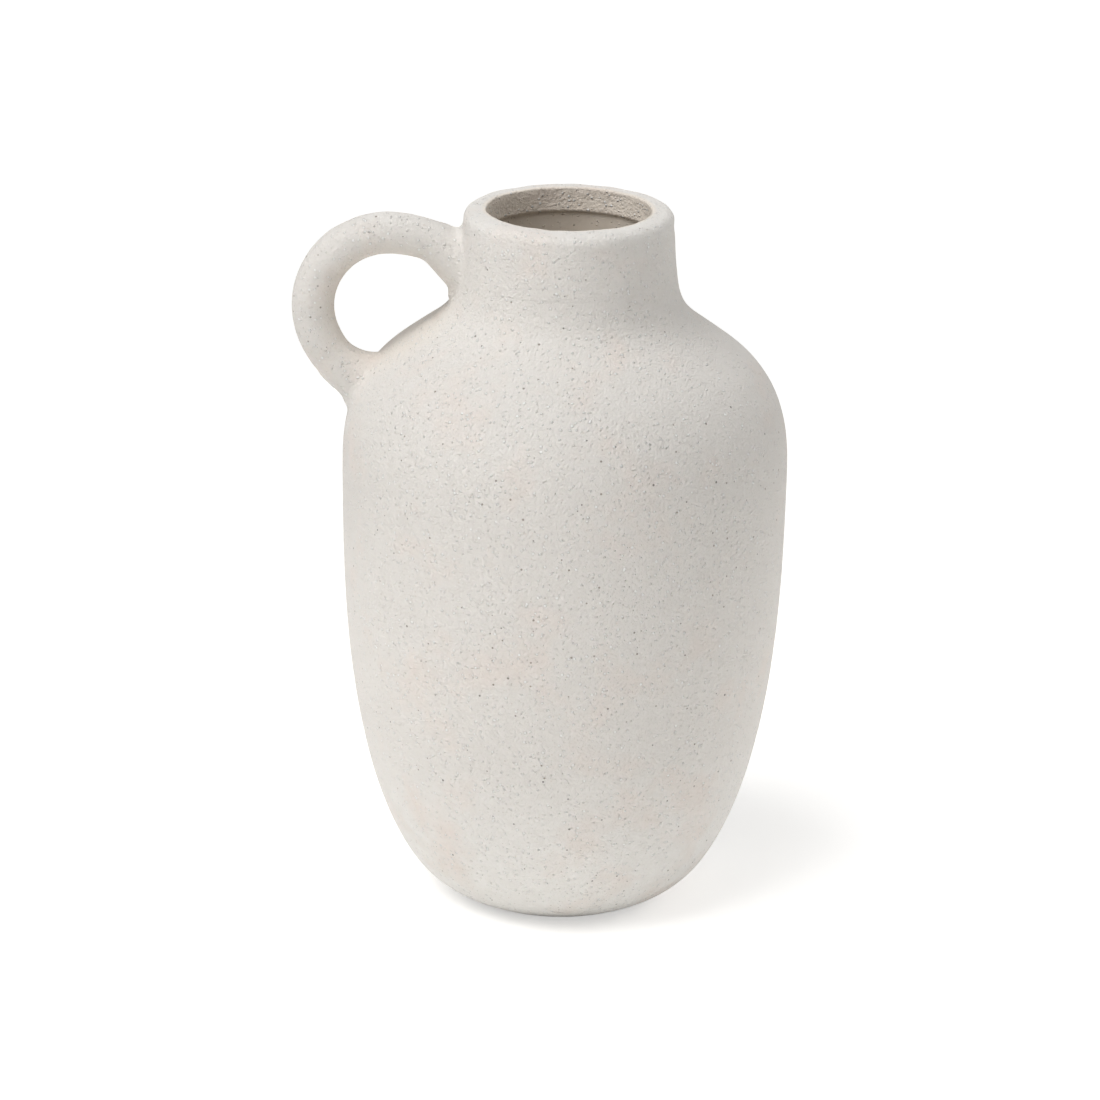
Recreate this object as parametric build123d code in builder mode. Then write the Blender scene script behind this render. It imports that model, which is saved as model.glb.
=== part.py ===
from build123d import *
import os

os.makedirs("parts", exist_ok=True)

# A stoneware jug vase: a thrown belly, a thrown neck set on it, and a small pulled loop handle.
# All sizes are millimetres. The pot stands on Z = 0, its axis is Z and the handle is on the -X side.

# Outside of the pot
belly_height = 174.6
neck_height = 30.4
belly_radius = 63.9
foot_radius = 27.5
neck_radius = 30.2
neck_lean = 2.6

# Wall and foot
wall_thickness = 6.0
floor_thickness = 7.0
foot_recess_radius = 21.5
foot_recess_depth = 1.6
cavity_floor_round = 14.0
cavity_top_round = 4.0

# Seat of the neck in the shoulder
seat_depth = 1.4
seat_shelf_thickness = 5.0
seat_shelf_round = 2.0

# Wall of the neck and its thicker rim
neck_wall_thickness = 5.8
rim_thickness = 7.2
rim_outer_round = 3.4
rim_inner_round = 1.0
ledge_depth = 8.0
ledge_round = 0.5

# Worked clay between the neck and the shoulder
neck_joint_rise = 8.0
neck_joint_spread = 6.2
neck_joint_hollow_radius = 21.0

# Handle, measured to its outside
handle_thickness = 12.4
handle_overhang = 14.7
handle_hoop_angle = 117.0
handle_top_drop = 2.0
handle_root_drop = 15.1
handle_heel_drop = 21.6

# Worked clay round the two ends of the handle
slip_cover = 0.4
upper_joint_reach = 9.0
upper_joint_web = 1.5
upper_joint_rise = 10.5
upper_joint_fall = 16.5
upper_joint_width = 16.6
lower_joint_reach = 9.0
lower_joint_web = 1.8
lower_joint_width = 16.0
lower_joint_height = 19.0

# Glaze inside
glaze_thickness = 0.4

# How far up the belly its widest place is, and how much of the handle's span out from the neck
# its round hoop takes
belly_widest_share = 0.716
handle_hoop_share = 0.5765

# Outline of the flank between the foot and the widest place: each pair is the share of the way out
# from the foot radius to the belly radius, and the share of the way up to the widest height.
foot_rise_degrees = 20.0
flank_shares = ((0.256, 0.04), (0.563, 0.16), (0.80, 0.36), (0.95, 0.64))

# Outline of the shoulder between the widest place and the lip: each pair is the share of the way in
# from the belly radius to the lip radius, and the share of the way up to the lip.
shoulder_lip_share = 0.95
shoulder_fall_degrees = 35.0
shoulder_shares = ((0.02, 0.302), (0.11, 0.504), (0.328, 0.706), (0.563, 0.827))

# How strongly an outline keeps to its direction at its first and last point, 1 being even with its run
end_pulls = (1, 1)

# Places along the outer side of the belly at which the wall is measured, as shares of its length
wall_shares = (0, 0.06, 0.14, 0.26, 0.4, 0.54, 0.66, 0.74, 0.8, 0.86, 0.92, 1)

# Levels and radii that follow from the sizes above
pot_height = belly_height + neck_height
belly_widest_height = belly_widest_share * belly_height
neck_foot_radius = neck_radius + neck_lean
throat_radius = neck_radius - neck_wall_thickness
mouth_radius = neck_radius - rim_thickness
rim_level = pot_height - rim_outer_round
ledge_height = pot_height - ledge_depth
seat_height = belly_height - seat_depth
cavity_top_height = seat_height - seat_shelf_thickness
handle_radius = handle_thickness / 2
handle_reach = belly_radius + handle_overhang
handle_hoop_radius = handle_hoop_share * (handle_reach - neck_radius) - handle_radius
handle_top_height = pot_height - handle_top_drop
handle_root_height = pot_height - handle_root_drop
handle_heel_height = belly_height - handle_heel_drop
flank_spread = belly_radius - foot_radius
shoulder_spread = belly_radius - neck_foot_radius
shoulder_rise = belly_height - belly_widest_height

# Outer side of the belly, from the foot's edge up to the lip round the seat
flank_points = [
    (foot_radius + out * flank_spread, up * belly_widest_height) for out, up in flank_shares
]
shoulder_points = [
    (belly_radius - back * shoulder_spread, belly_widest_height + up * shoulder_rise)
    for back, up in shoulder_shares
]
foot_edge = (foot_radius, 0)
widest_point = (belly_radius, belly_widest_height)
lip_point = (belly_radius - shoulder_lip_share * shoulder_spread, belly_height)
foot_direction = Vector(1, 0).rotate(Axis.Z, foot_rise_degrees)
lip_direction = Vector(-1, 0).rotate(Axis.Z, -shoulder_fall_degrees)
with BuildLine() as belly_side:
    Spline(
        foot_edge,
        *flank_points,
        widest_point,
        *shoulder_points,
        lip_point,
        tangents=(foot_direction, lip_direction),
        tangent_scalars=end_pulls,
    )
belly_curve = belly_side.line.edge()

# Outer side of the neck, upright under the rim and leaning out to the lip round its foot
neck_side_top = (neck_radius, rim_level)
neck_side_foot = (neck_foot_radius, belly_height)
with BuildLine() as neck_side:
    TangentArc(neck_side_top, neck_side_foot, tangent=(0, -1))
neck_curve = neck_side.line.edge()


def hollow_section(coat):
    """Half section of the hollow, made smaller all round by a coat, from the floor to the ledge."""
    inset = wall_thickness + coat
    wall_points = [
        belly_curve.position_at(share) + belly_curve.tangent_at(share).rotate(Axis.Z, 90) * inset
        for share in wall_shares
    ]
    with BuildSketch(Plane.XZ) as section:
        with BuildLine():
            Spline(
                *wall_points,
                tangents=(foot_direction, lip_direction),
                tangent_scalars=end_pulls,
            )
            Polyline(
                wall_points[-1],
                (0, wall_points[-1].Y),
                (0, wall_points[0].Y),
                wall_points[0],
            )
        make_face()
        with Locations((0, floor_thickness + coat)):
            Rectangle(
                belly_radius,
                cavity_top_height - floor_thickness - 2 * coat,
                align=(Align.MIN, Align.MIN),
                mode=Mode.INTERSECT,
            )
        top_corner = section.vertices().group_by(Axis.Y)[-1].sort_by(Axis.X)[-1]
        fillet(top_corner, radius=cavity_top_round - coat)
        floor_corner = section.vertices().group_by(Axis.Y)[0].sort_by(Axis.X)[-1]
        fillet(floor_corner, radius=cavity_floor_round - coat)
        with Locations((0, floor_thickness + coat)):
            Rectangle(
                throat_radius - coat,
                ledge_height - floor_thickness - coat,
                align=(Align.MIN, Align.MIN),
            )
        shelf_edge = section.vertices().sort_by_distance((throat_radius, cavity_top_height))[0]
        fillet(shelf_edge, radius=seat_shelf_round + coat)
    return section.sketch_local


# Belly: one thrown wall with its floor, its trimmed foot ring and the seat for the neck
with BuildPart() as belly:
    with BuildSketch(Plane.XZ) as belly_section:
        with BuildLine():
            add(belly_curve)
            Polyline(lip_point, (0, belly_height), (0, 0), foot_edge)
        make_face()
        add(hollow_section(0), mode=Mode.SUBTRACT)
        with Locations((0, seat_height)):
            Rectangle(neck_foot_radius, seat_depth, align=(Align.MIN, Align.MIN), mode=Mode.SUBTRACT)
        Rectangle(
            foot_recess_radius,
            foot_recess_depth,
            align=(Align.MIN, Align.MIN),
            mode=Mode.SUBTRACT,
        )
    revolve(axis=Axis.Z)
belly.part.label = "belly"
export_step(belly.part, "parts/belly.step")

# Neck: a thrown collar that stands in the seat, with a rounded rim and a step inside the mouth
rim_outer_edge = (neck_radius - rim_outer_round, pot_height)
rim_inner_edge = (mouth_radius + rim_inner_round, pot_height)
mouth_top = (mouth_radius, pot_height - rim_inner_round)
with BuildPart() as neck:
    with BuildSketch(Plane.XZ) as neck_section:
        with BuildLine():
            add(neck_curve)
            TangentArc(neck_side_top, rim_outer_edge, tangent=(0, 1))
            Line(rim_outer_edge, rim_inner_edge)
            TangentArc(rim_inner_edge, mouth_top, tangent=(-1, 0))
            Polyline(
                mouth_top,
                (mouth_radius, ledge_height),
                (throat_radius, ledge_height),
                (throat_radius, seat_height),
                (neck_foot_radius, seat_height),
                neck_side_foot,
            )
        make_face()
        ledge_corner = neck_section.vertices().sort_by_distance((mouth_radius, ledge_height))[0]
        fillet(ledge_corner, radius=ledge_round)
    revolve(axis=Axis.Z)
neck.part.label = "neck"
export_step(neck.part, "parts/neck.step")

# Neck joint: a coil of clay worked hollow into the corner between the neck and the shoulder
joint_top = neck_curve.position_at(
    neck_curve.length - neck_joint_rise, position_mode=PositionMode.LENGTH
)
joint_foot = belly_curve.position_at(
    belly_curve.length - neck_joint_spread, position_mode=PositionMode.LENGTH
)
with BuildPart() as neck_joint:
    with BuildSketch(Plane.XZ) as neck_joint_section:
        with BuildLine():
            RadiusArc(joint_foot, joint_top, neck_joint_hollow_radius)
            Polyline(
                joint_top,
                (throat_radius, joint_top.Y),
                (throat_radius, joint_foot.Y),
                joint_foot,
            )
        make_face()
        add(belly_section.sketch_local, mode=Mode.SUBTRACT)
        add(neck_section.sketch_local, mode=Mode.SUBTRACT)
    revolve(axis=Axis.Z)
neck_joint.part.label = "neck_joint"
export_step(neck_joint.part, "parts/neck_joint.step")

# Whole outside of the pot as one filled body, which shapes the ends of the handle
with BuildPart() as pot_body:
    with BuildSketch(Plane.XZ):
        with BuildLine():
            add(belly_curve)
            Polyline(lip_point, (0, belly_height), (0, 0), foot_edge)
        make_face()
        with BuildLine():
            add(neck_curve)
            Polyline(neck_side_top, (0, rim_level), (0, belly_height), neck_side_foot)
        make_face()
        add(neck_joint_section.sketch_local)
    revolve(axis=Axis.Z)

# Line of the handle: a round hoop, an upper run to the neck and a lower run to the shoulder
hoop_centre = (
    handle_radius + handle_hoop_radius - handle_reach,
    handle_top_height - handle_radius - handle_hoop_radius,
)
heel_radius = belly_curve.intersect(
    Edge.make_line((foot_radius, handle_heel_height), (handle_reach, handle_heel_height))
).vertices()[0].X
with BuildLine(Plane.XZ) as handle_line:
    hoop = CenterArc(hoop_centre, handle_hoop_radius, 90, handle_hoop_angle)
    upper_run = TangentArc(
        hoop @ 0, Vector(-neck_radius, 0, handle_root_height), tangent=hoop.tangent_at(0) * -1
    )
    lower_run = TangentArc(
        hoop @ 1, Vector(-heel_radius, 0, handle_heel_height), tangent=hoop.tangent_at(1)
    )
    upper_bite = Line(upper_run @ 1, upper_run @ 1 + upper_run.tangent_at(1) * handle_thickness)
    lower_bite = Line(lower_run @ 1, lower_run @ 1 + lower_run.tangent_at(1) * handle_thickness)

# Handle: a round roll along that line, its two ends cut to the outside of the pot
with BuildPart() as handle:
    with BuildSketch(Plane(origin=upper_bite @ 1, z_dir=upper_bite.tangent_at(1) * -1)):
        Circle(handle_radius)
    sweep(path=handle_line.line)
    add(pot_body.part, mode=Mode.SUBTRACT)
handle.part.label = "handle"
export_step(handle.part, "parts/handle.step")


def worked_clay_oval(place, heading, width, height, toward_loop=0):
    """Oval section of worked clay, its centre shifted toward the loop's side."""
    with BuildSketch(Plane(origin=place, x_dir=(0, 1, 0), z_dir=heading)) as oval:
        with Locations((0, toward_loop)):
            Ellipse(width / 2, height / 2)
    return oval.sketch


# Upper handle joint: clay worked round the upper root, with a web under it down the neck
covered_thickness = handle_thickness + 2 * slip_cover
upper_start = upper_run.length - upper_joint_reach
upper_middle = upper_run.length - upper_joint_reach / 2
neck_wall_middle = (neck_radius + throat_radius) / 2
upper_ovals = [
    worked_clay_oval(
        upper_run.position_at(upper_start, position_mode=PositionMode.LENGTH),
        upper_run.tangent_at(upper_start, position_mode=PositionMode.LENGTH) * -1,
        covered_thickness,
        covered_thickness,
    ),
    worked_clay_oval(
        upper_run.position_at(upper_middle, position_mode=PositionMode.LENGTH),
        upper_run.tangent_at(upper_middle, position_mode=PositionMode.LENGTH) * -1,
        covered_thickness + slip_cover,
        covered_thickness + upper_joint_web,
        toward_loop=upper_joint_web / 2,
    ),
    worked_clay_oval(
        (-neck_wall_middle, 0, handle_root_height + (upper_joint_rise - upper_joint_fall) / 2),
        (-1, 0, 0),
        upper_joint_width,
        upper_joint_rise + upper_joint_fall,
    ),
]
with BuildPart() as upper_handle_joint:
    loft(upper_ovals)
    add(handle.part, mode=Mode.SUBTRACT)
    add(pot_body.part, mode=Mode.SUBTRACT)
upper_handle_joint.part.label = "upper_handle_joint"
export_step(upper_handle_joint.part, "parts/upper_handle_joint.step")

# Lower handle joint: clay worked round the lower root, with a small web on the loop's side
lower_start = lower_run.length - lower_joint_reach
lower_middle = lower_run.length - lower_joint_reach / 3
lower_ovals = [
    worked_clay_oval(
        lower_run.position_at(lower_start, position_mode=PositionMode.LENGTH),
        lower_run.tangent_at(lower_start, position_mode=PositionMode.LENGTH),
        covered_thickness,
        covered_thickness,
    ),
    worked_clay_oval(
        lower_run.position_at(lower_middle, position_mode=PositionMode.LENGTH),
        lower_run.tangent_at(lower_middle, position_mode=PositionMode.LENGTH),
        covered_thickness + slip_cover,
        covered_thickness + lower_joint_web,
        toward_loop=lower_joint_web / 2,
    ),
    worked_clay_oval(
        lower_bite.position_at(wall_thickness / 2, position_mode=PositionMode.LENGTH),
        lower_bite.tangent_at(0),
        lower_joint_width,
        lower_joint_height,
        toward_loop=(lower_joint_height - covered_thickness) / 2,
    ),
]
with BuildPart() as lower_handle_joint:
    loft(lower_ovals)
    add(handle.part, mode=Mode.SUBTRACT)
    add(pot_body.part, mode=Mode.SUBTRACT)
lower_handle_joint.part.label = "lower_handle_joint"
export_step(lower_handle_joint.part, "parts/lower_handle_joint.step")

# Glaze lining: one thin coat over the floor, the inner wall and the throat, up to the ledge
with BuildPart() as glaze_lining:
    with BuildSketch(Plane.XZ):
        add(hollow_section(0))
        add(hollow_section(glaze_thickness), mode=Mode.SUBTRACT)
    revolve(axis=Axis.Z)
glaze_lining.part.label = "glaze_lining"
export_step(glaze_lining.part, "parts/glaze_lining.step")
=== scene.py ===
# %% [markdown]
# # A stoneware jug vase and its looks
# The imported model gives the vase's exact solids: a belly, a neck, the clay joint between them, a loop
# handle with a worked root at each end, and a thin lining of glaze. This lesson makes the fired clay
# that the eye sees over those solids. It models each piece with the tools that one would use by hand,
# keeps each one where its solid is, and gives it a matt, sanded, speckled surface.

import math

import bpy
import numpy as np
from mathutils import Matrix, Vector


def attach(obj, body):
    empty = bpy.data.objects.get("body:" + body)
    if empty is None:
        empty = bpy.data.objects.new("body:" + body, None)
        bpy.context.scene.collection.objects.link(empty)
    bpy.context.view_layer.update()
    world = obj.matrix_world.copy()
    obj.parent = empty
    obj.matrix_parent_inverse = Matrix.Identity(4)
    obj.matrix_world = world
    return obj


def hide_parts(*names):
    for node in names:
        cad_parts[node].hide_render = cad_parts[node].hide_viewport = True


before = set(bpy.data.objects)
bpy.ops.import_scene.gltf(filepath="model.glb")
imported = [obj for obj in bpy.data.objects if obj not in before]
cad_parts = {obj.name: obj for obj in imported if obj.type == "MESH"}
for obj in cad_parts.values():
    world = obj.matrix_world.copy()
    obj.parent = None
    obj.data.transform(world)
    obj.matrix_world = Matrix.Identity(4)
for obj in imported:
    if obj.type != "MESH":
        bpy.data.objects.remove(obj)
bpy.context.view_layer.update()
MM = 0.001


def in_mm(metres, digits=1):
    """Lengths in metres as rounded millimetres, to print."""
    return [round(v / MM, digits) for v in metres]


print("solids:", sorted(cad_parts))

# %% [markdown]
# ## A clean start for each piece
# An operator acts on everything that is selected, and loading a model leaves all of it selected. So
# each piece starts with nothing selected and in object mode. A finished piece keeps its place in its
# mesh, with its object at the origin, so that patterns on its own coordinates run on from piece to
# piece.

# %% A clean start
def clean_start():
    """Goes to object mode with nothing selected."""
    if bpy.context.object is not None and bpy.context.object.mode != "OBJECT":
        bpy.ops.object.mode_set(mode="OBJECT")
    bpy.ops.object.select_all(action="DESELECT")


def pick(piece):
    """Makes one piece the only selected and active one."""
    clean_start()
    piece.select_set(True)
    bpy.context.view_layer.objects.active = piece


def set_down(piece):
    """Puts a piece's place into its mesh."""
    pick(piece)
    bpy.ops.object.transform_apply(location=True, rotation=True, scale=True)
    print(piece.name, "faces:", len(piece.data.polygons), "size mm:", in_mm(piece.dimensions, 2))


# %% [markdown]
# ## Drawing a thrown profile
# A pot from the wheel is round, so half of its section says everything about its shape. The section
# could be a curve object, but a string of mesh vertices can be spun directly. The potter's eye wants
# one calm line through a few measured places, so the line below keeps its curvature running on
# smoothly from place to place. All places are in millimetres: distance from the axis, then height.

# %% A calm line through measured places
def flowing_line(places, first_way, last_way, step):
    """Points about one step apart on a smooth line through the places, with a given way at each end."""
    p = np.array(places, float)
    gap = np.linalg.norm(np.diff(p, axis=0), axis=1)
    rows = np.zeros((len(p), len(p)))
    ways = np.zeros((len(p), 2))
    rows[0, 0] = rows[-1, -1] = 1
    ways[0] = np.array(first_way) / np.linalg.norm(first_way)
    ways[-1] = np.array(last_way) / np.linalg.norm(last_way)
    for i in range(1, len(p) - 1):
        rows[i, i - 1 : i + 2] = gap[i], 2 * (gap[i - 1] + gap[i]), gap[i - 1]
        before, after = (p[i] - p[i - 1]) / gap[i - 1], (p[i + 1] - p[i]) / gap[i]
        ways[i] = 3 * (gap[i] * before + gap[i - 1] * after)
    slope = np.linalg.solve(rows, ways)
    line = [p[0]]
    for i in range(len(p) - 1):
        for t in np.linspace(0, 1, max(1, round(gap[i] / step)) + 1)[1:]:
            a, b = slope[i] * gap[i], slope[i + 1] * gap[i]
            line.append(
                (2 * t**3 - 3 * t**2 + 1) * p[i]
                + (t**3 - 2 * t**2 + t) * a
                + (3 * t**2 - 2 * t**3) * p[i + 1]
                + (t**3 - t**2) * b
            )
    return line


def round_corner(centre, radius, start, end, steps):
    """Points on an arc from one angle to another, in degrees, without its first point."""
    angles = np.radians(np.linspace(start, end, steps + 1)[1:])
    return [np.array(centre) + radius * np.array((math.cos(a), math.sin(a))) for a in angles]


def straight(start, end, steps):
    """Points on a straight run without its first point."""
    return [np.array(start) + (np.array(end) - np.array(start)) * i / steps for i in range(1, steps + 1)]


# %% Draw and spin
MERGE = 0.002 * MM


def draw_profile(name, places):
    """A new piece that is one string of vertices, drawn by extruding a vertex from place to place."""
    clean_start()
    x, z = places[0]
    bpy.ops.mesh.primitive_plane_add(size=MM, location=(x * MM, 0, z * MM))
    piece = bpy.context.object
    piece.name = name
    bpy.ops.object.mode_set(mode="EDIT")
    bpy.ops.mesh.select_mode(type="VERT")
    bpy.ops.mesh.select_all(action="SELECT")
    bpy.ops.mesh.merge(type="CENTER")
    for here, there in zip(places, places[1:]):
        move = ((there[0] - here[0]) * MM, 0, (there[1] - here[1]) * MM)
        bpy.ops.mesh.extrude_region_move(TRANSFORM_OT_translate={"value": move})
    bpy.ops.object.mode_set(mode="OBJECT")
    return piece


def throw(piece, steps):
    """Spins a profile once round the pot's axis and closes its seam and poles."""
    pick(piece)
    bpy.ops.object.transform_apply(location=True, rotation=True, scale=True)
    bpy.ops.object.mode_set(mode="EDIT")
    bpy.ops.mesh.select_all(action="SELECT")
    bpy.ops.mesh.spin(steps=steps, angle=math.tau, center=(0, 0, 0), axis=(0, 0, 1))
    bpy.ops.mesh.select_all(action="SELECT")
    bpy.ops.mesh.remove_doubles(threshold=MERGE)
    bpy.ops.mesh.normals_make_consistent(inside=False)
    bpy.ops.object.mode_set(mode="OBJECT")
    set_down(piece)


# %% [markdown]
# ## The belly
# The belly is one thrown wall, 6 mm thick, from the trimmed foot up to the shoulder. Its outside was
# measured in the photograph. It could be a lathe of a few rings under a subdivision surface, but that
# pulls the outline inwards. A fine profile spun once keeps the measured outline. The inside follows
# 6 mm further in, with wide steps, because the glaze lies over it.

# %% The belly's outside
FOOT_SLOPE, SHOULDER_WAY, OUTLINE_STEP = math.radians(20), (-0.819, 0.574), 1.15
belly_places = [
    (27.5, 0.0), (36.8, 5.0), (48.0, 20.0), (56.6, 45.0), (62.05, 80.0), (63.9, 125.0),
    (63.28, 140.0), (60.48, 150.0), (53.7, 160.0), (46.4, 166.0), (34.35, 174.6),
]
foot_way = (math.cos(FOOT_SLOPE), math.sin(FOOT_SLOPE))
belly_line = flowing_line(belly_places, foot_way, SHOULDER_WAY, OUTLINE_STEP)
print("outline points:", len(belly_line), "widest mm:", round(max(p[0] for p in belly_line), 2))

# %% The belly's inside
WALL, FLOOR, FLOOR_FLAT_R, SHELF = 6.0, 7.0, 25.0, 166.5


def stepped_in(line, depth, every):
    """Every so many points of a line, moved square to it towards its left-hand side."""
    inside = []
    for i in range(1, len(line) - 1, every):
        way = np.array(line[i + 1]) - np.array(line[i - 1])
        way /= np.linalg.norm(way)
        inside.append(np.array(line[i]) + depth * np.array((-way[1], way[0])))
    return inside


def hollow_line(depth):
    """The hollow's outline from the floor's middle up to the shelf, a depth inside the clay."""
    wall = [p for p in stepped_in(belly_line, WALL + depth, 4) if FLOOR + 4 < p[1] < SHELF - depth]
    return (
        [(0, FLOOR + depth)]
        + straight((0, FLOOR + depth), (FLOOR_FLAT_R, FLOOR + depth), 5)
        + [(29.6 - depth, FLOOR + 1.0 + depth)]
        + wall
        + [(32.2, 167.9 - depth), (28.0 - depth, 168.2 - depth), (25.2 - depth, 169.0 - depth / 2)]
    )


print("points inside:", len(hollow_line(0)))

# %% The belly's whole section, with the neck's seat and the foot ring
RING_STEPS = 360
THROAT_R, THROAT_FOOT, NECK_FOOT_R, SEAT, SHOULDER_TOP = 24.4, 170.4, 32.8, 173.2, 174.6
FOOT_EDGE, RECESS_R, RECESS = 0.9, 20.5, 1.6
belly_section = (
    hollow_line(0)
    + [(THROAT_R, THROAT_FOOT), (THROAT_R, SEAT), (NECK_FOOT_R, SEAT), (NECK_FOOT_R, 174.5)]
    + belly_line[::-1][:-1]
    + round_corner((27.6, FOOT_EDGE), FOOT_EDGE, -50, -90, 3)
    + straight((27.0, 0), (22.1, 0), 4)
    + [(21.6, 0.3), (21.5, 0.8), (21.2, 1.4), (RECESS_R, RECESS)]
    + straight((RECESS_R, RECESS), (0, RECESS), 4)
)
belly = draw_profile("belly_clay", belly_section)
throw(belly, RING_STEPS)

# %% [markdown]
# ## The neck
# The neck is a thrown collar that stands on the shoulder. Its rim is round outside and has a crisper
# edge to the mouth, and 8 mm down inside the mouth the band of the rim ends in a small soft step. A
# bevel could round these edges later, but then it would round them alike, so they are in the profile.

# %% The neck's outside
NECK_R, TOP, RIM_ROUND = 30.2, 205.0, 3.4
neck_line = flowing_line(
    [(NECK_FOOT_R, SHOULDER_TOP), (31.65, 182.0), (30.72, 190.0), (NECK_R, TOP - RIM_ROUND)],
    (-0.19, 0.98), (0, 1), 1.0,
)
print("neck's outline points:", len(neck_line))

# %% Throw the neck
MOUTH_R, MOUTH_ROUND, STEP_TOP, STEP_ROUND, STEP_FOOT = 23.0, 1.0, 198.2, 1.2, 197.0
neck_section = (
    [(NECK_FOOT_R, SEAT)]
    + neck_line
    + round_corner((NECK_R - RIM_ROUND, TOP - RIM_ROUND), RIM_ROUND, 0, 90, 9)
    + straight((NECK_R - RIM_ROUND, TOP), (MOUTH_R + MOUTH_ROUND, TOP), 3)
    + round_corner((MOUTH_R + MOUTH_ROUND, TOP - MOUTH_ROUND), MOUTH_ROUND, 90, 180, 6)
    + straight((MOUTH_R, TOP - MOUTH_ROUND), (MOUTH_R, STEP_TOP), 5)
    + round_corner((MOUTH_R + STEP_ROUND, STEP_TOP), STEP_ROUND, 180, 270, 5)
    + [(THROAT_R, STEP_FOOT)]
    + straight((THROAT_R, STEP_FOOT), (THROAT_R, SEAT), 12)
    + [(NECK_FOOT_R, SEAT)]
)
neck = draw_profile("neck_clay", neck_section)
throw(neck, RING_STEPS)

# %% [markdown]
# ## The clay joint between neck and shoulder
# Where the collar stands on the shoulder, the potter works a coil of clay into the corner, until the
# one surface flows into the other. It is a band whose outside is the measured hollow curve. Its two
# edges dive a tenth of a millimetre into the shoulder and the neck at a very flat angle, which hides
# where it ends. Its body comes from a Solidify modifier that goes inwards.

# %% The joint's hollow curve
def level_on(line, height):
    """A line's place and outward square at a height."""
    i = min(range(1, len(line) - 1), key=lambda k: abs(line[k][1] - height))
    way = np.array(line[i + 1]) - np.array(line[i - 1])
    way /= np.linalg.norm(way)
    return np.array(line[i]), np.array((way[1], -way[0]))


def sunk(line, height, depth):
    """A place that lies a little under a line at a height."""
    place, outward = level_on(line, height)
    return place - outward * depth


JOINT_FOOT = 165.4
along_the_belly = level_on(belly_line, JOINT_FOOT)[1][::-1] * (-1, 1)
joint_line = flowing_line(
    [
        sunk(belly_line, JOINT_FOOT, 0.14), sunk(belly_line, 168.0, 0.05),
        (40.55, 170.1), (37.0, 173.0), (34.2, 176.05), (32.3, 180.0), (31.27, 185.0),
        sunk(neck_line, 189.0, 0.04), sunk(neck_line, 193.0, 0.14),
    ],
    along_the_belly, (-0.03, 1), 0.8,
)
print("joint's outline points:", len(joint_line))

# %% Throw the clay joint
def add_modifier(piece, kind, **settings):
    """Adds a modifier to a piece, sets it and applies it."""
    pick(piece)
    bpy.ops.object.modifier_add(type=kind)
    modifier = piece.modifiers[-1]
    for name, value in settings.items():
        setattr(modifier, name, value)
    bpy.ops.object.modifier_apply(modifier=modifier.name)


JOINT_THICKNESS = 2.0
neck_joint = draw_profile("neck_joint_clay", joint_line)
throw(neck_joint, RING_STEPS)
add_modifier(neck_joint, "SOLIDIFY", thickness=JOINT_THICKNESS * MM, offset=-1, use_rim=True)
print("joint band faces:", len(neck_joint.data.polygons))

# %% [markdown]
# ## The handle
# The handle is a pulled roll of clay, 12.4 mm thick. Its middle line is a round hoop with an arc at
# each end that meets it smoothly: one goes over to the neck, the other down to the shoulder. A ring of
# vertices is spun round the centre of each arc in turn, and extruded straight into the wall at the
# ends.

# %% Sizes of the handle's line
HANDLE_R, HOOP_R, HOOP_TURN_DEGREES = 6.2, 21.7, 117.0
hoop_centre, root, heel = np.array((-50.7, 175.1)), np.array((-30.2, 189.9)), np.array((-59.05, 153.0))


def turned(way, angle):
    """A way turned by an angle in radians."""
    c, s = math.cos(angle), math.sin(angle)
    return np.array((way[0] * c - way[1] * s, way[0] * s + way[1] * c))


def arc_to(start, way, end):
    """The arc that leaves start in the given way and ends at end: its centre, turn and radius."""
    way = np.array(way) / np.linalg.norm(way)
    side = np.array((way[1], -way[0]))
    chord = np.array(end) - np.array(start)
    if chord @ side < 0:
        side = -side
    radius = chord @ chord / (2 * chord @ side)
    return np.array(start) + side * radius, math.asin(chord @ way / radius), radius


hoop_top, hoop_turn = hoop_centre + (0, HOOP_R), math.radians(HOOP_TURN_DEGREES)
end_angle = math.radians(90 + HOOP_TURN_DEGREES)
hoop_end = hoop_centre + HOOP_R * np.array((math.cos(end_angle), math.sin(end_angle)))
lower_way = np.array((-math.sin(end_angle), math.cos(end_angle)))
upper_centre, upper_turn, upper_radius = arc_to(hoop_top, (1, 0), root)
lower_centre, lower_turn, lower_radius = arc_to(hoop_end, lower_way, heel)
root_way, heel_way = turned((1, 0), -upper_turn), turned(lower_way, lower_turn)
print("upper run radius mm:", round(upper_radius, 1), "lower run radius mm:", round(lower_radius, 1))

# %% Pull the roll along its line
BITE = 6.0


def extrude(way, length):
    """Extrudes what is selected along a way in the handle's plane."""
    move = way * length * MM
    bpy.ops.mesh.extrude_region_move(TRANSFORM_OT_translate={"value": (move[0], 0, move[1])})


clean_start()
start = root + root_way * BITE
bpy.ops.mesh.primitive_circle_add(
    vertices=72, radius=HANDLE_R * MM, location=(start[0] * MM, 0, start[1] * MM),
    rotation=(0, math.atan2(root_way[0], root_way[1]), 0),
)
handle = bpy.context.object
handle.name = "handle_clay"
bpy.ops.object.transform_apply(location=True, rotation=True, scale=True)
bpy.ops.object.mode_set(mode="EDIT")
bpy.ops.mesh.select_all(action="SELECT")
extrude(root_way, -BITE)
for centre, turn, steps in (
    (upper_centre, upper_turn, 28), (hoop_centre, hoop_turn, 60), (lower_centre, lower_turn, 22),
):
    middle = (centre[0] * MM, 0, centre[1] * MM)
    bpy.ops.mesh.spin(steps=steps, angle=turn, center=middle, axis=(0, 1, 0))
extrude(heel_way, BITE)

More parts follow.
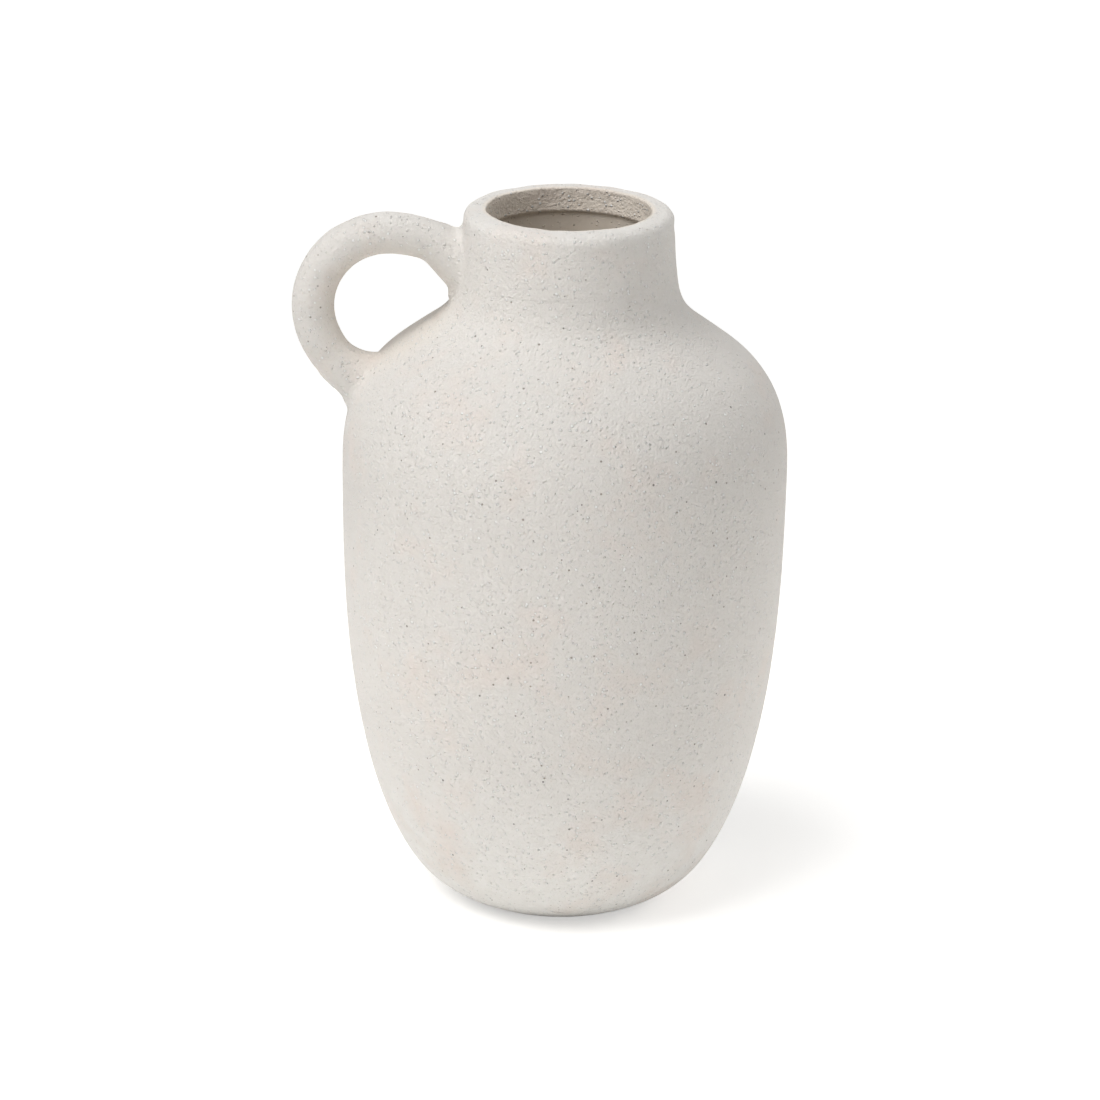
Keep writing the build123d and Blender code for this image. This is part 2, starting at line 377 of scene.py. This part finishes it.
# %% Close the roll's ends
bpy.ops.mesh.select_all(action="DESELECT")
bpy.ops.mesh.select_mode(type="EDGE")
bpy.ops.mesh.select_non_manifold()
bpy.ops.mesh.edge_face_add()
bpy.ops.mesh.select_all(action="SELECT")
bpy.ops.mesh.remove_doubles(threshold=MERGE)
bpy.ops.mesh.normals_make_consistent(inside=False)
bpy.ops.object.mode_set(mode="OBJECT")
set_down(handle)
print("handle's corners mm:", in_mm(handle.bound_box[0]), in_mm(handle.bound_box[6]))

# %% [markdown]
# ## The worked roots
# Each end of the roll is pressed onto the pot, and soft clay is worked round it until no crease is
# left, with a web under the upper end. Rings could be bridged between the roll and the pot, but real
# clay flows in all directions at once. So it is done as in sculpting: the roll, the two solids of
# worked clay, a pinch more in each sharp corner, and two patches of the pot's outside are joined into
# one skin by a voxel Remesh, and smoothing near the creases lets the clay flow into them.

# %% Two patches of the pot's outside
PATCH_DEPTH, PATCH_HALF_WIDTH, PATCH_EDGE_X = 3.0, 17.0, -10
pot_line = (
    [p for p in belly_line if 134 < p[1] < 168.6]
    + [p for p in joint_line if 169.4 < p[1] < 188.4]
    + [p for p in neck_line if p[1] > 189.4]
    + round_corner((NECK_R - RIM_ROUND, TOP - RIM_ROUND), RIM_ROUND, 0, 40, 4)
)


def add_patch(name, low, high):
    """A closed piece of the pot's outer skin behind the handle, between two heights."""
    line = [p for p in pot_line if low < p[1] < high]
    behind = stepped_in(line, PATCH_DEPTH, 1)[::-1]
    patch = draw_profile(name, line + behind + [line[0]])
    throw(patch, RING_STEPS)
    for x, y, way in (
        (PATCH_EDGE_X, 0, (1, 0, 0)), (0, PATCH_HALF_WIDTH, (0, 1, 0)), (0, -PATCH_HALF_WIDTH, (0, -1, 0)),
    ):
        bpy.ops.object.mode_set(mode="EDIT")
        bpy.ops.mesh.select_all(action="SELECT")
        bpy.ops.mesh.bisect(plane_co=(x * MM, y * MM, 0), plane_no=way, use_fill=True, clear_outer=True)
        bpy.ops.object.mode_set(mode="OBJECT")
    return patch


patches = [add_patch("shoulder_patch", 134.5, 168.0), add_patch("neck_patch", 171.0, 204.5)]

# %% The worked clay, and a pinch more in each sharp corner
def copy_of_solid(node):
    """A copy of a solid's mesh with its loose triangles joined up."""
    copy = bpy.data.objects.new(node + "_copy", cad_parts[node].data.copy())
    bpy.context.scene.collection.objects.link(copy)
    copy.data.materials.clear()
    pick(copy)
    bpy.ops.object.mode_set(mode="EDIT")
    bpy.ops.mesh.select_all(action="SELECT")
    bpy.ops.mesh.remove_doubles(threshold=MERGE)
    bpy.ops.object.mode_set(mode="OBJECT")
    return copy


def add_pinch(place, half_sizes):
    """A pinch of clay with half sizes along x, y and z in mm, to be pressed into a corner."""
    clean_start()
    bpy.ops.mesh.primitive_uv_sphere_add(
        segments=32, ring_count=16, radius=MM, location=(place[0] * MM, 0, place[1] * MM), scale=half_sizes
    )
    return bpy.context.object


webs = [copy_of_solid(node) for node in ("upper_handle_joint", "lower_handle_joint")]
pinches = [add_pinch((-31.6, 179.1), (2.6, 4.5, 3.0)), add_pinch((-61.9, 149.1), (2.2, 5.2, 3.9))]
print("webs and pinches:", len(webs) + len(pinches))

# %% Join them all into one skin
FIRST_GRAIN, LAST_GRAIN = 0.5, 0.45


def join_skin(piece, others, grain):
    """Joins closed forms to a piece and gives them all one skin."""
    pick(piece)
    for other in others:
        other.select_set(True)
    bpy.ops.object.join()
    add_modifier(piece, "REMESH", mode="VOXEL", voxel_size=grain * MM, use_smooth_shade=True)
    print(piece.name, "skin faces:", len(piece.data.polygons))


join_skin(handle, webs + patches + pinches, FIRST_GRAIN)

# %% The roll's middle line, as places to measure from
def arc_points(centre, radius, start, turn, steps):
    """Places on one arc of the roll's middle line, from a start and through a turn."""
    first = math.atan2(start[1] - centre[1], start[0] - centre[0])
    angles = first + turn * np.linspace(0, 1, steps)
    return [centre + radius * np.array((math.cos(a), math.sin(a))) for a in angles]


roll_line = np.array(
    arc_points(upper_centre, upper_radius, root, upper_turn, 40)
    + arc_points(hoop_centre, HOOP_R, hoop_top, hoop_turn, 120)
    + arc_points(lower_centre, lower_radius, hoop_end, lower_turn, 40)
)
print("places on the roll's line:", len(roll_line))

# %% How far each place on the skin is from the roll and from the pot
FAR = 1e9


def places_of(piece):
    """The places of all vertices of a piece in mm."""
    flat = np.empty(len(piece.data.vertices) * 3)
    piece.data.vertices.foreach_get("co", flat)
    return flat.reshape(-1, 3) / MM


def measure_skin(piece):
    """Each vertex's place, its height over the roll and its height over the pot, in mm."""
    place = places_of(piece)
    over_roll = np.full(len(place), FAR)
    for x, z in roll_line:
        over_roll = np.minimum(over_roll, np.linalg.norm(place - (x, 0, z), axis=1))
    half = np.stack([np.hypot(place[:, 0], place[:, 1]), place[:, 2]], 1)
    line = np.array(pot_line)
    way = np.gradient(line, axis=0)
    way /= np.linalg.norm(way, axis=1)[:, None]
    nearest, best = np.zeros(len(place), int), np.full(len(place), FAR)
    for i, point in enumerate(line):
        gap = np.linalg.norm(half - point, axis=1)
        nearer = gap < best
        best[nearer], nearest[nearer] = gap[nearer], i
    outward = np.stack([way[nearest, 1], -way[nearest, 0]], 1)
    over_pot = ((half - line[nearest]) * outward).sum(1)
    return place, over_roll - HANDLE_R, over_pot


place, over_roll, over_pot = measure_skin(handle)
print("furthest from the pot mm:", round(over_pot.max(), 1))

# %% Smoothing by a share for each vertex
def ease(x):
    """A share from 0 to 1 that starts and ends gently."""
    x = np.clip(x, 0, 1)
    return x * x * (3 - 2 * x)


def mark(piece, name, shares):
    """A vertex group that holds a share for each vertex."""
    group = piece.vertex_groups.new(name=name)
    for index in np.nonzero(shares > 0.001)[0]:
        group.add([int(index)], float(shares[index]), "REPLACE")
    return name


def soften(piece, shares, rounds):
    """Smooths a skin by a share for each vertex."""
    add_modifier(piece, "SMOOTH", factor=0.5, iterations=rounds, vertex_group=mark(piece, "soft", shares))
    piece.vertex_groups.clear()


def flow_in(piece, reach, rounds):
    """Smooths a skin near the creases between the roll and the pot."""
    place, over_roll, over_pot = measure_skin(piece)
    soften(piece, ease(1.3 - np.maximum(np.abs(over_roll), np.abs(over_pot)) / reach), rounds)


# %% Let the worked clay run out along the roll, then into the creases, and keep its full thickness
RUN_OUT, RUN_OUT_FADE = 15.0, 5.0
soften(handle, ease((RUN_OUT - over_pot) / RUN_OUT_FADE) * ease((over_pot - 1.0) / 2.0), 60)
pick(handle)
bpy.ops.object.duplicate()
full_roll = bpy.context.object
flow_in(handle, 5.0, 90)
join_skin(handle, [full_roll], LAST_GRAIN)
flow_in(handle, 6.0, 8)

# %% Sink the border of the patches under the pot's own surface
SINK = 0.14
place, over_roll, over_pot = measure_skin(handle)
far_from_roll, near_the_rim = ease((over_roll - 5.5) / 4.0), ease((place[:, 2] - 201.0) / 2.2)
border = np.maximum(far_from_roll, near_the_rim) * (over_pot < 0.4)
add_modifier(
    handle, "DISPLACE", strength=-SINK * MM, mid_level=0, vertex_group=mark(handle, "border", border)
)
handle.vertex_groups.clear()
set_down(handle)

# %% [markdown]
# ## The liner glaze
# Inside, the pot is lined with a thin poured glaze, from the floor up to the step in the mouth. It
# could be a colour on the clay, but a glaze has a body: it is a shell 0.4 mm thick, drawn as one
# section. It hangs a little thicker under the step, and that hollow softens the shadow there.

# %% Pour the liner glaze
COAT, LINING_TOP, POOL, LINING_STEPS = 0.4, 197.4, 1.4, 180
POOL_SHAPE = ((1.1, 0.6), (1.5, 0.3), (2.2, 0.0))


def lining_line(depth):
    """The hollow's outline from the floor's middle up to the step, a depth inside the clay wall."""
    return (
        hollow_line(depth)
        + straight((THROAT_R - depth, THROAT_FOOT), (THROAT_R - depth, LINING_TOP - POOL), 12)
        + [(THROAT_R - depth * k, LINING_TOP - POOL * h) for k, h in POOL_SHAPE]
    )


lining = draw_profile("liner_coat", lining_line(0) + lining_line(COAT)[::-1])
throw(lining, LINING_STEPS)

# %% [markdown]
# ## An uneven surface
# No thrown pot is perfectly round or smooth. The wall wanders by a few tenths of a millimetre, under
# the sand coat lie shallow dents from fingers and sponge, and fingers have pressed the lip a little
# out of true. Moving vertices by hand would leave seams between the pieces. A Displace modifier reads
# one cloud pattern in space, so neighbours move together, and it only moves inwards, so that the pot
# keeps within its size.

# %% Patterns of unevenness: the size of a lump, its depth, and the height that it starts from, in mm
UNEVEN = (
    ("wander", 55.0, 0.16, 0), ("dents", 14.0, 0.09, 0), ("ripple", 4.0, 0.03, 0), ("lip", 8.0, 0.5, 196.5),
)
clouds = {}
for name, size, depth, above in UNEVEN:
    clouds[name] = bpy.data.textures.new(name, type="CLOUDS")
    clouds[name].noise_scale = size * MM
    clouds[name].noise_depth = 1
print("patterns:", sorted(clouds))

# %% Press them into the clay
for piece in (belly, neck, neck_joint, handle):
    for name, size, depth, above in UNEVEN:
        height = places_of(piece)[:, 2]
        if height.max() > above:
            where = mark(piece, name, ease((height - above) / 4.0))
            add_modifier(
                piece, "DISPLACE", texture=clouds[name], texture_coords="LOCAL", mid_level=1.0,
                strength=depth * MM, vertex_group=where,
            )
    piece.vertex_groups.clear()
print("widest after that mm:", in_mm(belly.dimensions, 2)[0])

# %% [markdown]
# ## Three pieces from one skin
# The roll and its two roots are three pieces on the real pot, though their clay runs together. They are
# cut from the one skin by planes only now, after the last change to its surface, so that their edges
# still meet exactly. The cut's threshold is far finer than the skin's grain, or vertices near the plane
# would be pulled into stray edges. Smooth shading by angle leaves the cut's edge sharp, and so the cut
# isn't seen.

# %% Part the skin into the handle and its two worked roots
def part_off(source, name, where, way):
    """Cuts a piece by a plane, closes both sides, and gives the far side to a new piece."""
    pick(source)
    bpy.ops.object.duplicate()
    far_side = bpy.context.object
    far_side.name = name
    plane = {
        "plane_co": (where[0] * MM, 0, where[1] * MM), "plane_no": (way[0], 0, way[1]),
        "use_fill": True, "threshold": 0.001 * MM,
    }
    for piece, side in ((source, {"clear_outer": True}), (far_side, {"clear_inner": True})):
        pick(piece)
        bpy.ops.object.mode_set(mode="EDIT")
        bpy.ops.mesh.select_all(action="SELECT")
        bpy.ops.mesh.bisect(**plane, **side)
        bpy.ops.object.mode_set(mode="OBJECT")
        set_down(piece)
    return far_side


upper_root = part_off(handle, "upper_root_clay", (-37.5, 194.0), (1, 0))
lower_root = part_off(handle, "lower_root_clay", heel - heel_way * 6.5, (0.5, -0.866))

# %% Smooth shading
SHARP_FROM = math.radians(40)
for piece in (belly, neck, neck_joint, handle, upper_root, lower_root, lining):
    pick(piece)
    bpy.ops.object.shade_smooth_by_angle(angle=SHARP_FROM)
print("pieces shaded smooth up to degrees:", round(math.degrees(SHARP_FROM)))

# %% [markdown]
# ## Nodes for a fired surface
# A finish is a small tree of nodes. They could be joined one by one in the editor; here one function
# adds a node with its settings and what feeds it. A feed is a value, another node or one of its
# outputs, and goes to an input by the input's name or by its turn. Colours are written as they look
# on a screen.

# %% Helpers for finishes
def screen_colour(code):
    """A screen colour such as E0D8D0 as linear light."""
    parts = [int(code[i : i + 2], 16) / 255 for i in (0, 2, 4)]
    return tuple(c / 12.92 if c <= 0.04045 else ((c + 0.055) / 1.055) ** 2.4 for c in parts) + (1.0,)


def feed(tree, node, feeds):
    """Sets or links a node's inputs, given by name or in their order."""
    live = [socket for socket in node.inputs if socket.enabled]
    pairs = feeds.items() if isinstance(feeds, dict) else enumerate(feeds)
    for key, value in pairs:
        socket = live[key] if isinstance(key, int) else next(s for s in live if s.name == key)
        if isinstance(value, bpy.types.Node):
            value = next(s for s in value.outputs if s.enabled)
        if isinstance(value, bpy.types.NodeSocket):
            tree.links.new(value, socket)
        else:
            socket.default_value = value


def add_node(tree, kind, feeds=(), **settings):
    """Adds a node with its settings and what feeds it."""
    node = tree.nodes.new("ShaderNode" + kind)
    for name, value in settings.items():
        setattr(node, name, value)
    feed(tree, node, feeds)
    return node


def new_finish(name):
    """A material with its tree, shader and the coordinates that its patterns use."""
    finish = bpy.data.materials.new(name)
    finish.use_nodes = True
    tree = finish.node_tree
    return finish, tree, tree.nodes["Principled BSDF"], add_node(tree, "TexCoord").outputs["Object"]


print("a pale slip in linear light:", [round(c, 3) for c in screen_colour("E3DFDA")])

# %% [markdown]
# ## Sanded slip
# The outside is a pale slip with fine sand in it, fired matt. Close up it is a dry skin of grains about
# half a millimetre across, with dark iron specks, a few glassy quartz grains, and faint warm clouds
# where the flame touched it. Light is painted into its colour too: painted bounce light makes it whiter
# at the foot, painted top light makes the rim whiter, and painted warm bounce light makes it warmer
# inside the loop and the mouth. One picture could not be wrapped on it without seams, so each of these
# is a pattern in space, sized in millimetres. The grains are drawn up to twice their real size, as
# coarse as they need to be to show from where the camera stands.

# %% A pattern of round grains
SMALLEST_GRAIN = 0.55


def grains(tree, place, cell, radius, edge=0.3, shift=0.0):
    """Round grains of up to a radius in mm, one to a cell: how far a place is inside one, and a tone.

    The edge is how soft a grain's border is, and the shift, in metres, sets one pattern off from another.
    """
    moved = add_node(tree, "VectorMath", [place, (shift,) * 3], operation="ADD")
    cells = add_node(tree, "TexVoronoi", {"Vector": moved, "Scale": 1 / (cell * MM), "Randomness": 1.0})
    draw = add_node(tree, "SeparateColor", [cells.outputs["Color"]])
    sizes = [draw.outputs["Red"], 0.0, 1.0, SMALLEST_GRAIN * radius / cell, radius / cell]
    size = add_node(tree, "MapRange", sizes)
    inside = add_node(tree, "Math", [size, cells.outputs["Distance"]], operation="SUBTRACT")
    edge_ramp = [inside, 0.0, edge * radius / cell, 0.0, 1.0]
    return add_node(tree, "MapRange", edge_ramp, interpolation_type="SMOOTHSTEP"), draw.outputs["Green"]


# %% Painted light: bounce light at the foot, top light on the rim, warm bounce light in the loop and the mouth
slip, tree, shader, place = new_finish("sanded_slip_fired_matt")
height = add_node(tree, "SeparateXYZ", [place]).outputs["Z"]
loop_middle = (hoop_centre[0] * MM, 0, hoop_centre[1] * MM)
from_loop = add_node(tree, "VectorMath", [place, loop_middle], operation="DISTANCE")
level_place = add_node(tree, "VectorMath", [place, (1, 1, 0)], operation="MULTIPLY")
from_axis = add_node(tree, "VectorMath", [level_place, (0, 0, 0)], operation="DISTANCE")
painted_light_masks = {}
for name, measure, none_at, full_at, most in (
    ("foot", height, 57, 5, 1.0), ("rim", height, 199, 203, 0.35),
    ("loop", from_loop, 22.5, 14, 0.35), ("mouth", from_axis, 25, 23.4, 0.8),
):
    painted_light_masks[name] = add_node(tree, "MapRange", [measure, none_at * MM, full_at * MM, 0, most])
# The whiter foot and rim are painted bounce light and painted top light; the warmer loop and mouth are
# painted warm bounce light.
painted_light_foot_rim = add_node(tree, "Math", [painted_light_masks["foot"], painted_light_masks["rim"]], operation="MAXIMUM")
painted_warm_bounce = add_node(tree, "Math", [painted_light_masks["loop"], painted_light_masks["mouth"]], operation="MAXIMUM")
print("thick or thin at:", sorted(painted_light_masks))

# %% Clouds in the slip: the size of a lump in mm, detail and roughness
cloud = {}
for name, size, detail, rough in (
    ("flame", 22.0, 3.0, 0.6), ("mottle", 4.0, 3.0, 0.55), ("peel", 0.9, 2.0, 0.6), ("grit", 16.0, 2.0, 0.5),
):
    sizes = {"Vector": place, "Scale": 1 / (size * MM), "Detail": detail, "Roughness": rough}
    cloud[name] = add_node(tree, "TexNoise", sizes)
flame = add_node(tree, "MapRange", [cloud["flame"], 0.52, 0.76, 0.0, 0.55])
mottle = add_node(tree, "MapRange", [cloud["mottle"], 0.3, 0.7, 0.0, 0.2])
gritty = add_node(tree, "MapRange", [cloud["grit"], 0.38, 0.62, 0.35, 1.0])
print("clouds:", sorted(cloud))

# %% Grains in the slip: iron specks, faint and strong, raised sand, and quartz
grain, tone = {}, {}
for name, cell, radius, edge, shift in (
    ("faint", 1.7, 0.38, 0.6, 0.0), ("strong", 3.6, 0.42, 0.4, 0.31),
    ("sand", 1.5, 0.44, 0.8, 0.17), ("quartz", 1.7, 0.52, 0.4, 0.53),
):
    grain[name], tone[name] = grains(tree, place, cell, radius, edge, shift)
grain["sand"] = add_node(tree, "Math", [grain["sand"], gritty], operation="MULTIPLY")
iron = {}
for name, dark, light in (("faint", "A59D92", "D5C6B8"), ("strong", "5F5850", "9A8B7C")):
    pair = [tone[name], screen_colour(dark), screen_colour(light)]
    iron[name] = add_node(tree, "Mix", pair, data_type="RGBA")
cover = {"quartz": grain["quartz"]}
# The sand and quartz grains are pale, and they are also painted lighter as painted highlights, flecks of
# light where grains catch the lamps.
for name, most in (("faint", 0.42), ("strong", 0.8), ("sand", 0.4)):
    cover[name] = add_node(tree, "Math", [grain[name], most], operation="MULTIPLY")
print("grains:", sorted(grain))

# %% Sanded slip, fired matt: to the eye a dry off-white skin with dark specks and faint warm clouds, with painted bounce light at the foot, painted top light on the rim and painted warm bounce light in the loop and the mouth
colour = screen_colour("E3DFDA")
for share, over in (
    (painted_light_foot_rim, screen_colour("F3F1ED")), (painted_warm_bounce, screen_colour("F0E4D5")), (flame, screen_colour("E8D8CE")),
    (mottle, screen_colour("DAD5CC")), (cover["faint"], iron["faint"]), (cover["strong"], iron["strong"]),
    # pale sand and quartz, painted lighter still as painted highlights
    (cover["sand"], screen_colour("F1EEE9")), (cover["quartz"], screen_colour("FBFAF7")),
):
    colour = add_node(tree, "Mix", [share, colour, over], data_type="RGBA")
relief = add_node(tree, "Math", [cloud["peel"], 0.48 * MM], operation="MULTIPLY")
for name, rise in (("sand", 0.43), ("quartz", 0.35), ("strong", -0.10)):
    layer = add_node(tree, "Math", [grain[name], rise * MM], operation="MULTIPLY")
    relief = add_node(tree, "Math", [relief, layer], operation="ADD")
bump = add_node(tree, "Bump", {"Height": relief, "Distance": 1.0, "Strength": 1.0})
dry_or_glassy = add_node(tree, "MapRange", [grain["quartz"], 0.0, 0.5, 0.9, 0.22])
feed(tree, shader, {"Base Color": colour, "Normal": bump, "Roughness": dry_or_glassy, "IOR": 1.5})
print(slip.name, "nodes:", len(tree.nodes))

# %% [markdown]
# ## Liner glaze
# Inside, the glaze was poured in and out again and fired satin. It is a warm grey, a little uneven
# where it ran, with pinholes where gas came out of the clay, and it takes up the sand beneath it. It
# could be one flat colour, since little of it shows, but the light that falls into the mouth finds
# these marks.

# %% Liner glaze, poured and fired satin: to the eye a warm grey, softly shining coat
glaze, tree, shader, place = new_finish("liner_glaze_fired_satin")
runs = add_node(tree, "TexNoise", {"Vector": place, "Scale": 1 / (9.0 * MM), "Detail": 3.0, "Roughness": 0.5})
pinholes, _ = grains(tree, place, 4.0, 0.3)
sand, _ = grains(tree, place, 1.1, 0.40, 0.9, 0.17)
run_share = add_node(tree, "MapRange", [runs, 0.35, 0.65, 0.0, 1.0])
pinhole_share = add_node(tree, "Math", [pinholes, 0.7], operation="MULTIPLY")
colour = screen_colour("DED4C7")
for share, over in ((run_share, "D4C9BB"), (pinhole_share, "7E7468")):
    colour = add_node(tree, "Mix", [share, colour, screen_colour(over)], data_type="RGBA")
ripple = add_node(tree, "Math", [runs, 0.2 * MM], operation="MULTIPLY")
sand_rise = add_node(tree, "Math", [sand, 0.3 * MM], operation="MULTIPLY")
relief = add_node(tree, "Math", [ripple, sand_rise], operation="ADD")
bump = add_node(tree, "Bump", {"Height": relief, "Distance": 1.0})
feed(tree, shader, {"Base Color": colour, "Normal": bump, "Roughness": 0.45})
print(glaze.name, "nodes:", len(tree.nodes))

# %% [markdown]
# ## Each piece on its solid
# Every piece stands for one solid and one slot of the record, takes one finish, and moves with the
# same body. The pot is one rigid thing, so that body is the root.

# %% Put each finish on its pieces, and each piece on its solid
STANDS_FOR = (
    (belly, "belly", "sanded_stoneware", slip),
    (neck, "neck", "sanded_stoneware", slip),
    (neck_joint, "neck_joint", "sanded_stoneware", slip),
    (handle, "handle", "sanded_stoneware", slip),
    (upper_root, "upper_handle_joint", "sanded_stoneware", slip),
    (lower_root, "lower_handle_joint", "sanded_stoneware", slip),
    (lining, "glaze_lining", "liner_glaze", glaze),
)
for piece, node, slot, finish in STANDS_FOR:
    piece.data.materials.clear()
    piece.data.materials.append(finish)
    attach(piece, "root")
    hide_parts(node)
print("pieces on their solids:", len(STANDS_FOR))

# %% [markdown]
# ## The studio floor
# The pot stands on a wide sheet of white paper. More lamps would make it white, but would also wash
# out the pot. So the paper glows only for rays that come from the camera or from a shiny surface, and
# a little more far away, where less light falls on it. It lights nothing by that, and it still takes
# the pot's shadow.

# %% Floor
def seen_directly(tree):
    """1 for rays from the camera or from a shiny or clear surface, and 0 for rays that carry light."""
    rays = add_node(tree, "LightPath")
    eye_or_gloss = [rays.outputs["Is Camera Ray"], rays.outputs["Is Glossy Ray"]]
    seen = add_node(tree, "Math", eye_or_gloss, operation="MAXIMUM")
    return add_node(tree, "Math", [seen, rays.outputs["Is Transmission Ray"]], operation="MAXIMUM")


clean_start()
bpy.ops.mesh.primitive_plane_add(size=8.0, location=(0, 0, 0))
floor = bpy.context.object
floor.name = "studio_floor"
paper, tree, shader, place = new_finish("white_paper_sweep")
from_pot = add_node(tree, "VectorMath", [place, (0, 0, 0)], operation="DISTANCE")
near_or_far = add_node(tree, "MapRange", [from_pot, 0.6, 1.8, 0.4, 1.0])
glow = add_node(tree, "Math", [seen_directly(tree), near_or_far], operation="MULTIPLY")
feed(tree, shader, {
    "Base Color": screen_colour("F2F1EF"), "Roughness": 1.0,
    "Emission Color": (1, 1, 1, 1), "Emission Strength": glow,
})
floor.data.materials.append(paper)
print(paper.name, "nodes:", len(tree.nodes))

# %% [markdown]
# ## The light
# One large soft lamp stands high on the left in front, and a weaker one low behind on the right draws
# that edge. On a real sweep, the paper also throws light back onto the flanks and the foot. A white
# world could stand for that, but it would flatten the whole pot. So three small lamps look down at the
# paper, left, right and in front, and the pot gets only what the paper sends back.

# %% The room: white to the eye, dim as a light
ROOM_LIGHT = 0.15
world = bpy.context.scene.world or bpy.data.worlds.new("studio")
bpy.context.scene.world = world
world.use_nodes = True
tree = world.node_tree
room = add_node(tree, "MapRange", [seen_directly(tree), 0, 1, ROOM_LIGHT, 1.0])
feed(tree, tree.nodes["Background"], {"Color": (1, 1, 1, 1), "Strength": room})
print("room's light:", ROOM_LIGHT)

# %% The lamps: place and size in metres, power in watts
def soft_lamp(name, position, size, power, target):
    """A square soft lamp that looks at a target."""
    clean_start()
    bpy.ops.object.light_add(type="AREA", location=position)
    lamp = bpy.context.object
    lamp.name = name
    lamp.data.size, lamp.data.energy = size, power
    aim = Vector(target) - Vector(position)
    lamp.rotation_euler = aim.to_track_quat("-Z", "Y").to_euler()
    print(name, "watts:", power)


POT_MIDDLE = (0, 0, 0.1)
soft_lamp("key_lamp", (-0.6, -0.5, 1.6), 1.2, 25.1, POT_MIDDLE)
soft_lamp("edge_lamp", (1.2, 0.7, 0.6), 0.8, 6.0, POT_MIDDLE)
for name, spot, size, power in (
    ("left_paper_lamp", (-0.26, 0.02, 0.13), 0.16, 0.23),
    ("right_paper_lamp", (0.26, 0.02, 0.13), 0.16, 0.17),
    ("front_paper_lamp", (0, -0.62, 0.16), 0.20, 2.0),
):
    soft_lamp(name, spot, size, power, (spot[0], spot[1], 0))

# %% [markdown]
# ## The camera
# The pot's outline was fitted as a round body seen from a height, which also gave the camera: 18.6
# degrees above level, 1.64 m away, leaning by one degree. A small shift frames the picture as the
# photograph does.

# %% Camera
TILT, LEAN, AWAY = math.radians(18.595), math.radians(0.990), 1.64
LOOKS_AT = Vector((0, 0, 0.1025))
bpy.ops.object.camera_add()
camera = bpy.context.object
camera.name = "photo_camera"
stands = LOOKS_AT + Vector((0, -math.cos(TILT), math.sin(TILT))) * AWAY
aim = Matrix.Rotation(math.pi / 2 - TILT, 4, "X") @ Matrix.Rotation(LEAN, 4, "Z")
camera.matrix_world = Matrix.Translation(stands) @ aim
camera.data.sensor_width, camera.data.lens = 36.0, 186.07
camera.data.shift_x, camera.data.shift_y = -0.0121, 0.0007
bpy.context.scene.camera = camera
bpy.context.scene.view_settings.view_transform = "Standard"
print("camera stands at mm:", in_mm(stands))
